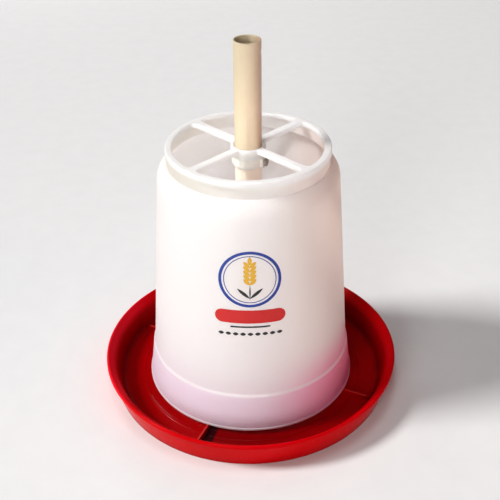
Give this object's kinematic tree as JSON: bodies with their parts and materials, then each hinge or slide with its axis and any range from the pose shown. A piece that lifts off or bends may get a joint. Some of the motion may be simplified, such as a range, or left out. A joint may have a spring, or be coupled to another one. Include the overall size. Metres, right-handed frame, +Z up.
{
  "type": "hanging poultry feeder",
  "caption": "Hanging dry-feed feeder for poultry: red trough pan on a centre pipe, with a white hopper drum that slides and turns on it.",
  "frame": {"origin": "centre of the pan's foot, on the surface that it stands on", "axes": "+Z up along the centre pipe, front towards -Y"},
  "size_m": [0.3882, 0.3882, 0.468],
  "materials": {
    "pan_red": "glossy moulded polypropylene",
    "drum_white": "translucent natural white polyethylene",
    "cap_white": "satin white moulded plastic",
    "collar_white": "satin white nylon",
    "pipe_ivory": "ivory PVC conduit",
    "clamp_grey": "dull plated steel",
    "zinc_steel": "zinc plated"
  },
  "bodies": {
    "pan_and_pipe": {"feed_pan": "pan_red", "centre_pipe": "pipe_ivory", "foot_bolt": "zinc_steel", "foot_washers": "zinc_steel", "foot_nut": "zinc_steel"},
    "collar": {"adjuster_collar": "collar_white", "clamp_nut": "zinc_steel"},
    "clamp_screw": {"clamp_screw": "clamp_grey"},
    "hopper": {"hopper_drum": "drum_white", "top_cap": "cap_white"}
  },
  "joints": [
    {"name": "collar_slide", "type": "slide", "parent": "pan_and_pipe", "child": "collar", "axis": [0, 0, 1], "range_m": [0, 0.1]},
    {"name": "hopper_turn", "type": "hinge", "parent": "collar", "child": "hopper", "pos_m": [0, 0, 0.32], "axis": [0, 0, 1], "continuous": true},
    {"name": "clamp_screw_turn", "type": "hinge", "parent": "collar", "child": "clamp_screw", "pos_m": [0.01766, -0.00939, 0.3217], "axis": [0.8829, -0.4695, 0], "continuous": true}
  ]
}
